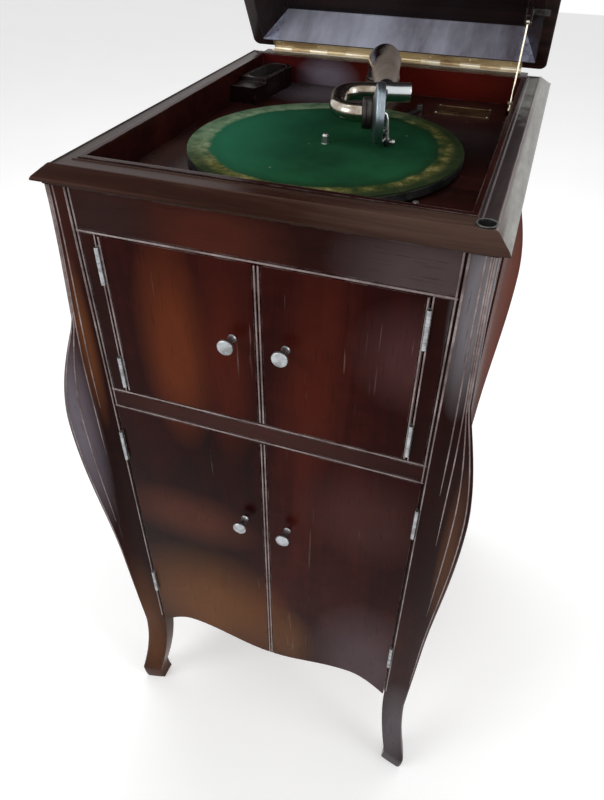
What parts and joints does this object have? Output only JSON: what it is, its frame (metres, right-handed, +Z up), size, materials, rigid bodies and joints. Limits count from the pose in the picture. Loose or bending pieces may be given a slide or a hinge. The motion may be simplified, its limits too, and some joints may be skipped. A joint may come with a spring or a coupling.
{
  "type": "gramophone cabinet",
  "caption": "Floor-standing gramophone cabinet on swelling corner posts, with a hinged lid over the turntable well, an inner horn and paired doors.",
  "frame": {"origin": "bottom centre of the whole object's box, on the floor, with the lid open as drawn", "axes": "+X to the right of someone facing the doors, +Y from the doors to the back, +Z up"},
  "size_m": [0.4848, 0.6, 1.397],
  "materials": {
    "mahogany": "gloss, dark red-brown, worn grey at the edges",
    "door_veneer": "gloss, red-brown figured veneer",
    "lid_wood": "gloss, dark red-brown",
    "inner_wood": "bare, unfinished",
    "horn_wood": "satin, thin veneer",
    "nickel": "polished nickel, worn",
    "knob_metal": "dull white metal",
    "brass": "aged, brushed",
    "steel": "satin",
    "iron": "black, painted",
    "felt": "green felt with a worn gold-olive rim",
    "dark_metal": "oxidised, dark"
  },
  "bodies": {
    "case": {"post_front_left": "mahogany", "post_front_right": "mahogany", "post_back_left": "mahogany", "post_back_right": "mahogany", "side_panel_left": "mahogany", "side_panel_right": "mahogany", "back_panel": "inner_wood", "top_rail": "mahogany", "middle_rail": "mahogany", "door_stiles": "mahogany", "moulding_front": "mahogany", "moulding_back": "mahogany", "moulding_left": "mahogany", "moulding_right": "mahogany", "well_liner": "mahogany", "motor_board": "mahogany", "board_cleats": "inner_wood", "horn_shelf": "inner_wood", "bottom_board": "inner_wood", "horn": "horn_wood", "horn_elbow": "iron", "hinge_leaves_case": "knob_metal", "long_hinge_case": "brass", "stay_eye": "brass", "arm_base": "nickel", "needle_box": "mahogany", "needle_cup": "dark_metal", "blank_plate": "brass", "motor_frame": "iron", "escutcheon": "brass"},
    "upper_left_door": {"door_upper_left": "door_veneer", "knob_upper_left": "knob_metal", "hinge_leaves_upper_left": "knob_metal"},
    "upper_right_door": {"door_upper_right": "door_veneer", "knob_upper_right": "knob_metal", "hinge_leaves_upper_right": "knob_metal"},
    "lower_left_door": {"door_lower_left": "door_veneer", "knob_lower_left": "knob_metal", "hinge_leaves_lower_left": "knob_metal"},
    "lower_right_door": {"door_lower_right": "door_veneer", "knob_lower_right": "knob_metal", "hinge_leaves_lower_right": "knob_metal"},
    "lid": {"lid_tray": "lid_wood", "long_hinge_lid": "brass", "stay_bracket": "brass"},
    "stay": {"stay_rod": "steel"},
    "platter": {"turntable": "steel", "felt_mat": "felt", "spindle": "steel"},
    "arm": {"tone_arm": "nickel"},
    "neck": {"gooseneck": "nickel", "sound_box": "nickel", "diaphragm": "dark_metal", "needle_bar": "dark_metal"},
    "brake": {"brake_lever": "brass"},
    "speed": {"speed_screw": "steel"},
    "barrel": {"spring_barrel": "steel"},
    "arbor": {"winding_arbor": "steel"},
    "winder": {"winding_shaft": "steel"},
    "governor_unit": {"governor": "brass"}
  },
  "joints": [
    {"name": "lid_hinge", "type": "hinge", "parent": "case", "child": "lid", "pos_m": [0, 0.25108, 0.93635], "axis": [1, 0, 0], "range_deg": [0, 60]},
    {"name": "stay_pivot", "type": "hinge", "parent": "lid", "child": "stay", "pos_m": [0.178, 0.20653, 1.00151], "axis": [1, 0, 0], "range_deg": [-30, 0]},
    {"name": "upper_left_door_hinge", "type": "hinge", "parent": "case", "child": "upper_left_door", "pos_m": [-0.16625, -0.27442, 0.773], "axis": [0, 0, -1], "range_deg": [0, 130]},
    {"name": "upper_right_door_hinge", "type": "hinge", "parent": "case", "child": "upper_right_door", "pos_m": [0.16625, -0.27442, 0.773], "axis": [0, 0, 1], "range_deg": [0, 130]},
    {"name": "lower_left_door_hinge", "type": "hinge", "parent": "case", "child": "lower_left_door", "pos_m": [-0.18725, -0.27442, 0.43], "axis": [0, 0, -1], "range_deg": [0, 130]},
    {"name": "lower_right_door_hinge", "type": "hinge", "parent": "case", "child": "lower_right_door", "pos_m": [0.18725, -0.27442, 0.43], "axis": [0, 0, 1], "range_deg": [0, 130]},
    {"name": "turntable_spin", "type": "hinge", "parent": "case", "child": "platter", "pos_m": [0, -0.05862, 0.914], "axis": [0, 0, 1], "continuous": true},
    {"name": "barrel_spin", "type": "hinge", "parent": "case", "child": "barrel", "pos_m": [0.04, -0.05862, 0.845], "axis": [0, 0, 1], "continuous": true},
    {"name": "governor_spin", "type": "hinge", "parent": "case", "child": "governor_unit", "pos_m": [-0.038, -0.05862, 0.85], "axis": [0, 0, 1], "continuous": true},
    {"name": "winding_spin", "type": "hinge", "parent": "case", "child": "winder", "pos_m": [0.12, -0.05862, 0.8753], "axis": [1, 0, 0], "continuous": true},
    {"name": "arbor_spin", "type": "hinge", "parent": "case", "child": "arbor", "pos_m": [0.04, -0.05862, 0.866], "axis": [0, 0, 1], "continuous": true},
    {"name": "tonearm_swing", "type": "hinge", "parent": "case", "child": "arm", "pos_m": [0.004, 0.18438, 0.92], "axis": [0, 0, 1], "range_deg": [-11, 24]},
    {"name": "gooseneck_tilt", "type": "hinge", "parent": "arm", "child": "neck", "pos_m": [0.04412, 0.03466, 0.9485], "axis": [0.9659, 0.2588, 0], "range_deg": [-130, 0]},
    {"name": "brake_swing", "type": "hinge", "parent": "case", "child": "brake", "pos_m": [0.056, 0.11338, 0.902], "axis": [0, 0, 1], "range_deg": [0, 18]},
    {"name": "speed_turn", "type": "hinge", "parent": "case", "child": "speed", "pos_m": [0.124, -0.15762, 0.9], "axis": [0, 0, 1], "range_deg": [-120, 120]}
  ],
  "couplings": [
    {"joint": "stay_pivot", "follows": "lid_hinge", "ratio": -0.5},
    {"joint": "barrel_spin", "follows": "turntable_spin", "ratio": -0.32333},
    {"joint": "governor_spin", "follows": "turntable_spin", "ratio": -5.2833},
    {"joint": "arbor_spin", "follows": "winding_spin", "ratio": 0.63636}
  ]
}
